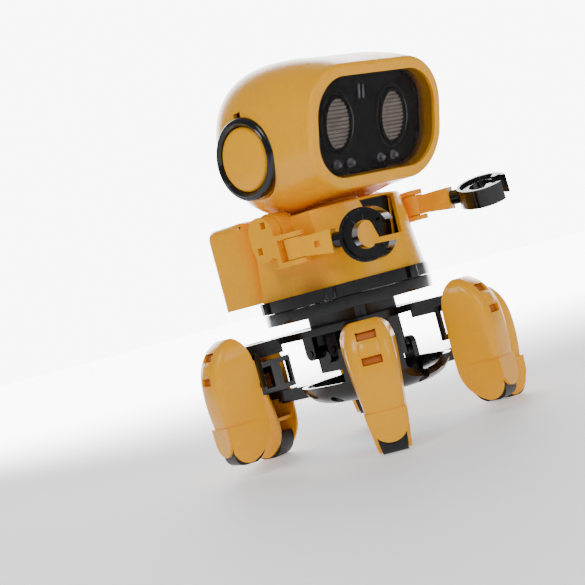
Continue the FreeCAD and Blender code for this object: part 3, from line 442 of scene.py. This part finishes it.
def make_eyes():
    for side, name in ((-1, "right"), (1, "left")):
        grille = eye_grille(side, "eye_louvres_" + name)
        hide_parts("eye_lenses")
        oval_band(side, "eye_surround_" + name, 0.9, 0.75, 1.9, mask_black)
        oval_band(side, "eye_outer_step_" + name, 2.6, 0.5, 0.9, black)
        # a lighter grey arc along the same side of each eye's oval: a painted highlight for the bright
        # reflection on the rim
        oval_band(side, "eye_painted_highlight_arc_" + name, 1.5, 0.16, 2.2, bulb_resin,
                  radians(-62), radians(58))


def make_face_details():
    """The clips at the top, the small lamps along the bottom and the studs below them."""
    for k, u in enumerate((-3.0, -0.6)):
        verts, faces = turned([(0.01, 0), (0.5, 0.1), (0.55, 0.5), (0.5, 5.4), (0.3, 5.9), (0.01, 6.0)],
                              on_face(u, 9.4, MASK_DEPTH - 0.7), FACE_UP, FACE_IN, 20)
        mesh_piece("face_clip_%d" % (k + 1), verts, faces, bulb_resin, "torso")
    for k, (u, v) in enumerate(((-17, -15.6), (-9, -15.8), (9, -15.8), (17, -15.6))):
        profile = [(0.01, -0.2), (1.9, -0.2), (2.0, 0.1), (1.9, 0.6), (1.55, 0.75), (1.5, 0.3)]
        profile += [(1.28, 0.3), (1.28, 1.6)] + [(1.28 * cos(a), 1.6 + 1.28 * sin(a)) for a in quarter(8)]
        verts, faces = turned(profile, on_face(u, v, MASK_DEPTH), FACE_IN * -1, FACE_UP, 32)
        lamp = mesh_piece("lamp_%d" % (k + 1), verts, faces, bulb_resin, "torso")
        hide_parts("infrared_bulbs")
    for k, u in enumerate((-13, -4.5, 4.5, 13)):
        verts, faces = turned([(0.01, 0), (0.55, 0), (0.6, 1.4), (0.3, 1.9), (0.01, 2.0)],
                              on_face(u, -16.9, MASK_DEPTH), FACE_IN * -1, FACE_UP, 16)
        mesh_piece("face_stud_%d" % (k + 1), verts, faces, black, "torso")


make_eyes()
make_face_details()


# ---------------------------------------------------------------- ears and crown
def make_ears():
    for side, name in ((-1, "right"), (1, "left")):
        low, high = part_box("ear_ring_" + name)
        centre = middle("ear_ring_" + name)
        radius = (high[2] - low[2]) / 2 / MM
        depth = (high[0] - low[0]) / MM
        face = Vector((low[0] if side < 0 else high[0], centre.y, centre.z))
        cap_low, cap_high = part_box("ear_cap_" + name)
        bore = (cap_high[2] - cap_low[2]) / 2 / MM + 0.12
        profile = [(bore, -depth), (radius, -depth), (radius, -2.4)]
        profile += [(radius - 1.6 * (1 - cos(a)), -2.4 + 1.9 * sin(a)) for a in quarter(8)]
        profile += [(radius - 2.0, -0.32), (radius - 2.1, 0.0), (bore + 1.4, 0.0), (bore + 1.1, -0.1)]
        profile += [(bore + 0.5, -1.1), (bore, -1.3)]
        verts, faces = turned(profile, face, (side, 0, 0), (0, 0, 1), 128)
        count = 128
        faces = faces[:-2] + [(k, (k + 1) % count, (len(profile) - 1) * count + (k + 1) % count,
                               (len(profile) - 1) * count + k) for k in range(count)]
        ring = mesh_piece("ear_ring_moulding_" + name, verts, faces, black, "torso")
        ring.modifiers.new("shading", "WEIGHTED_NORMAL")
        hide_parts("ear_ring_" + name)
        cap_radius = bore - 0.2
        top = (face.x - cap_low[0] if side < 0 else cap_high[0] - face.x) / MM
        profile = [(0.01, -6.0), (cap_radius, -6.0), (cap_radius, -1.75), (cap_radius - 0.12, -1.35),
                   (cap_radius - 0.5, -1.1)]
        rise = top + 1.1
        profile += [((cap_radius - 0.5) * cos(a), -1.1 + rise * sin(a)) for a in quarter(22)]
        verts, faces = turned(profile, face, (side, 0, 0), (0, 0, 1), 96)
        cap = mesh_piece("ear_dome_" + name, verts, faces, yellow, "torso")
        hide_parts("ear_cap_" + name)


def make_crown():
    low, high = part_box("crown_lens")
    radius = (high[0] - low[0]) / 2 / MM
    base = Vector((0, 0, low[2]))
    height = (high[2] - low[2]) / MM
    profile = [(0.01, 0), (radius, 0), (radius, height - 2.25), (radius - 0.25, height - 1.95)]
    ball = radius - 0.5
    profile += [(ball * cos(a) ** 0.9, height - 1.85 + 1.85 * sin(a)) for a in quarter(20, 0)]
    verts, faces = turned(profile, base, (0, 0, 1), (0, 1, 0), 96)
    disc = mesh_piece("crown_disc", verts, faces, disc_grey, "torso")
    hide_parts("crown_lens")


make_ears()
make_crown()


# ---------------------------------------------------------------- legs
def smooth_between(rows, z):
    """Values at a height, on a smooth curve through rows of (height, values...)."""
    for k in range(len(rows) - 1):
        if z <= rows[k + 1][0] or k == len(rows) - 2:
            break
    p1, p2 = rows[k], rows[k + 1]
    p0 = rows[k - 1] if k else p1
    p3 = rows[k + 2] if k + 2 < len(rows) else p2
    span = p2[0] - p1[0]
    t = min(max((z - p1[0]) / span, 0.0), 1.0)
    values = []
    for c in range(1, len(p1)):
        m1 = (p2[c] - p0[c]) / max(p2[0] - p0[0], 1e-6) * span
        m2 = (p3[c] - p1[c]) / max(p3[0] - p1[0], 1e-6) * span
        values.append((2 * t ** 3 - 3 * t ** 2 + 1) * p1[c] + (t ** 3 - 2 * t ** 2 + t) * m1
                      + (-2 * t ** 3 + 3 * t ** 2) * p2[c] + (t ** 3 - t ** 2) * m2)
    return values


SEAM, LEG_TOP = 16.4, 51.0
# height, inner edge, outer face, half width at the back, half width at the front, corner
SHIN = [(16.4, -11.0, 7.2, 8.4, 7.6, 2.6), (24.0, -10.6, 8.0, 9.3, 8.2, 3.2),
        (31.0, -10.2, 8.1, 10.1, 8.6, 3.8), (38.0, -9.8, 7.4, 10.6, 8.7, 4.2),
        (43.4, -9.0, 5.5, 10.6, 8.4, 4.6), (47.6, -7.4, 2.6, 9.4, 7.2, 4.4),
        (50.0, -5.8, -0.6, 7.2, 5.6, 3.0), (50.9, -4.8, -2.4, 5.0, 3.8, 1.2)]


def shin_section(z, shrink=0.0):
    """Points of one level of the shin cover, from the back edge round the front to the other back edge."""
    inner, outer, back, front, corner = smooth_between(SHIN, z)
    outer, back, front = outer - shrink, back - shrink, front - shrink
    corner = max(corner - shrink, 0.5)
    points = []
    straight, bend, flat = 7, 8, 8
    turn_v = front + (back - front) * corner / max(outer - inner, 1e-6)
    for k in range(straight):
        t = k / straight
        points.append((inner + (outer - corner - inner) * t, -(back + (turn_v - back) * t)))
    for k in range(bend + 1):
        a = pi / 2 * k / bend
        points.append((outer - corner + corner * sin(a), -(turn_v - corner * (1 - cos(a)))))
    reach = turn_v - corner
    for k in range(1, flat):
        v = -reach + 2 * reach * k / flat
        points.append((outer + 0.30 * (1 - (v / reach) ** 2), v))
    points += [(u, -v) for u, v in reversed(points[:straight + bend + 1])]
    return points


def leg_place(radius, angle, rise):
    """Carries a point of a leg, given outwards, sideways and up, to the leg's own place."""
    a = radians(angle)
    out, side = Vector((sin(a), -cos(a), 0)), Vector((cos(a), sin(a), 0))

    def place(u, v, z):
        return (out * (radius + u) + side * v + Vector((0, rise[0], z + rise[1]))) * MM
    return place


def shin_mesh(place):
    """The shin cover: outer skin, inner skin and the edges between them, before its slots are sunk."""
    levels = [SEAM + (LEG_TOP - 0.15 - SEAM) * (1 - (1 - k / 30) ** 1.5) for k in range(31)]
    outer, inner = [], []
    for z in levels:
        outer.append([(u, v, z) for u, v in shin_section(z)])
        share = (z - SEAM) / (LEG_TOP - SEAM)
        inner.append([(u, v, z - 1.5 * share ** 3) for u, v in shin_section(z, 1.5)])
    count = len(outer[0])
    verts = [p for row in outer for p in row] + [p for row in inner for p in row]
    shift = len(levels) * count
    faces = []
    for r in range(len(levels) - 1):
        for k in range(count - 1):
            a, b = r * count + k, (r + 1) * count + k
            faces.append((a, a + 1, b + 1, b))
            faces.append((a + shift, b + shift, b + 1 + shift, a + 1 + shift))
        for k in (0, count - 1):
            a, b = r * count + k, (r + 1) * count + k
            faces.append((a, b, b + shift, a + shift))
    for k in range(count - 1):
        faces.append((k, k + shift, k + 1 + shift, k + 1))
    top = (len(levels) - 1) * count
    faces.append(tuple(top + k for k in range(count)))
    faces.append(tuple(top + shift + k for k in range(count)))
    faces.append((top, top + shift, top + shift + count - 1, top + count - 1))
    return verts, faces


def cut_with(target, boxes):
    """Cut closed boxes out of a mesh object and keep the result as its own mesh."""
    for number, corners in enumerate(boxes):
        data = bpy.data.meshes.new("cutter")
        order = [(0, 1, 3, 2), (4, 6, 7, 5), (0, 4, 5, 1), (2, 3, 7, 6), (0, 2, 6, 4), (1, 5, 7, 3)]
        data.from_pydata([tuple(c) for c in corners], [], order)
        cutter = bpy.data.objects.new("cutter", data)
        bpy.context.scene.collection.objects.link(cutter)
        cut = target.modifiers.new("cut%d" % number, "BOOLEAN")
        cut.operation, cut.solver, cut.object = "DIFFERENCE", "EXACT", cutter
        bpy.context.view_layer.update()
        shape = bpy.data.meshes.new_from_object(target.evaluated_get(bpy.context.evaluated_depsgraph_get()))
        target.modifiers.clear()
        target.data = shape
        bpy.data.objects.remove(cutter)


def slot_corners(place, z):
    """A square-cut pocket whose floor follows the shin's face and stops short of its inside."""
    half_long, half_high, depth = 3.9, 1.55, 1.15
    levels = (z - half_high, z + half_high)
    floors = [smooth_between(SHIN, level)[1] - depth for level in levels]
    return [place(u, v, level) for out in (0, 1) for v in (-half_long, half_long)
            for level, u in zip(levels, (floors if out == 0 else (16, 16)))]


SLOTS = (35.8, 45.2)
# the raised band between the slots: how far sideways, and how proud it stands there
BAND_PROFILE = ((-4.3, 0.0), (-4.1, 0.34), (-2, 0.5), (0, 0.55), (2, 0.5), (4.1, 0.34), (4.3, 0.0))


def slot_floor(place, z, name, body):
    """A painted shadow for the bottom of a slot: a thin darker amber plate that follows the shin's face."""
    rows = []
    for step in range(5):
        level = z + 1.5 * (step / 2 - 1)
        face = smooth_between(SHIN, level)[1] - 1.1
        rows.append([place(face, 3.85 * (k / 4 - 1), level) for k in range(9)])
    floor = mesh_piece(name, [p for row in rows for p in row], rings_to_faces(rows, closed_round=False),
                       slot_shade, body)
    plate = floor.modifiers.new("thickness", "SOLIDIFY")
    plate.thickness = 0.2 * MM


def make_legs():
    for letter in "ab":
        for number in (1, 2, 3):
            name = letter + str(number)
            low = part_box("leg_" + name)[0]
            rise = (carry[letter][0], low[2] / MM - SEAM)
            angle = first_angle[letter] + 120 * (number - 1)
            place = leg_place(ring_radius, angle, rise)
            verts, faces = shin_mesh(place)
            verts = [place(*v) for v in verts]
            body = "tripod_" + letter
            shin = mesh_piece("shin_cover_" + name, verts, faces, yellow, body)
            cut_with(shin, [slot_corners(place, z) for z in SLOTS])
            shin.data.polygons.foreach_set("use_smooth", [True] * len(shin.data.polygons))
            soften_edges(shin, 0.32, 2, 40)
            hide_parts("leg_" + name)
            # a darker amber plate in each slot: painted shadow over the pocket's bottom
            for number_of_slot, z in enumerate(SLOTS):
                slot_floor(place, z, "slot_floor_%s_%d" % (name, number_of_slot + 1), body)
            band = []
            for k in range(17):
                z = SLOTS[0] + 2.4 + (SLOTS[1] - SLOTS[0] - 4.6) * k / 16
                face = smooth_between(SHIN, z)[1] + 0.1
                row = []
                for v, proud in BAND_PROFILE:
                    row.append(place(face + proud * sin(pi * min(max(k / 16, 0.06), 0.94)) ** 0.3, v, z))
                band.append(row)
            strip = mesh_piece("shin_raised_band_" + name, [p for row in band for p in row],
                               rings_to_faces(band, closed_round=False), yellow, body)
            thick = strip.modifiers.new("thickness", "SOLIDIFY")
            thick.thickness = 0.5 * MM
            thick.offset = -1


ring_radius = 61.0
first_angle = {"a": -46.0, "b": 14.0}
crank_throw, crank_rest_angle = 6.0, 208.0
throw_y = crank_throw * cos(radians(crank_rest_angle))
carry = {"a": (throw_y, 0.0), "b": (-throw_y, 0.0)}
make_legs()


# ---------------------------------------------------------------- studio
def studio():
    backdrop_glow = 9.0
    floor_data = bpy.data.meshes.new("floor")
    reach = 6.0
    corners = [(-reach, -reach, 0), (reach, -reach, 0), (reach, reach, 0), (-reach, reach, 0)]
    floor_data.from_pydata(corners, [], [(0, 1, 2, 3)])
    floor = bpy.data.objects.new("floor", floor_data)
    bpy.context.scene.collection.objects.link(floor)
    pale = Finish("pale_floor", Specular_IOR_Level=0.2)
    tone = pale.cloud(300, 2.0)
    pale.drive("Base Color", pale.blend(tone.ramp(0.3, 0.7), rgb(0.86, 0.86, 0.865), rgb(0.82, 0.82, 0.828)))
    pale.drive("Roughness", 0.6 + tone * 0.1)
    along_x, along_y = pale.axis("X"), pale.axis("Y")
    away = along_x * 0.7 + along_y * 0.7
    distance = (along_x * along_x + along_y * along_y + 0.0001) ** 0.5
    glow = away.ramp(0.10, 0.95) * (away / distance).ramp(0.72, 0.93)
    pale.drive("Emission Color", pale.blend(glow, rgb(0.035, 0.035, 0.036), rgb(1.0, 1.0, 1.0)))
    pale.shader.inputs["Emission Strength"].default_value = backdrop_glow
    floor_data.materials.append(pale.material)

    world = bpy.data.worlds.new("studio_air")
    bpy.context.scene.world = world
    world.use_nodes = True
    sky = world.node_tree.nodes["Background"]
    nodes, links = world.node_tree.nodes, world.node_tree.links
    direction = nodes.new("ShaderNodeTexCoord")
    facing = nodes.new("ShaderNodeVectorMath")
    facing.operation = "DOT_PRODUCT"
    facing.inputs[1].default_value = (0.70, 0.70, 0.10)
    links.new(direction.outputs["Generated"], facing.inputs[0])
    wash = nodes.new("ShaderNodeMapRange")
    wash.interpolation_type = "SMOOTHSTEP"
    wash_range = (("From Min", 0.72), ("From Max", 0.93), ("To Min", 0.30), ("To Max", backdrop_glow))
    for socket, value in wash_range:
        wash.inputs[socket].default_value = value
    links.new(facing.outputs["Value"], wash.inputs["Value"])
    sky.inputs[0].default_value = rgb(0.95, 0.96, 0.98)
    links.new(wash.outputs[0], sky.inputs[1])

    # name, place in metres, aimed at, size, watts
    lamps = [("key_softbox", (-0.80, -0.25, 0.85), (0, 0, 0.1), 0.40, 4.6),
             ("front_fill", (-0.05, -1.2, 0.60), (0, 0, 0.08), 0.6, 3.4)]
    for name, place, target, size, watts in lamps:
        data = bpy.data.lights.new(name, "AREA")
        data.shape, data.size, data.energy = "SQUARE", size, watts
        lamp = bpy.data.objects.new(name, data)
        lamp.location = place
        lamp.rotation_euler = (Vector(target) - Vector(place)).to_track_quat("-Z", "Y").to_euler()
        bpy.context.scene.collection.objects.link(lamp)


def camera():
    """Looks level at the robot from its front right, rolled as a hand would hold the toy."""
    azimuth, distance, height = radians(-45.16), 0.61975, 0.06674
    yaw, pitch, roll = radians(2.04), radians(0.11), radians(14.82)
    place = Vector((distance * sin(azimuth), -distance * cos(azimuth), height))
    flat = Vector((-sin(azimuth), cos(azimuth), 0))
    flat = Matrix.Rotation(yaw, 3, "Z") @ flat
    forward = Vector((flat.x * cos(pitch), flat.y * cos(pitch), sin(pitch)))
    right = forward.cross(Vector((0, 0, 1))).normalized()
    up = right.cross(forward)
    cam_right = right * cos(roll) - up * sin(roll)
    cam_up = up * cos(roll) + right * sin(roll)
    data = bpy.data.cameras.new("camera")
    data.lens, data.sensor_width = 90.37, 36.0
    data.clip_start, data.clip_end = 0.01, 30.0
    eye = bpy.data.objects.new("camera", data)
    turn = Matrix((cam_right, cam_up, -forward)).transposed().to_4x4()
    eye.matrix_world = Matrix.Translation(place) @ turn
    bpy.context.scene.collection.objects.link(eye)
    bpy.context.scene.camera = eye


studio()
camera()
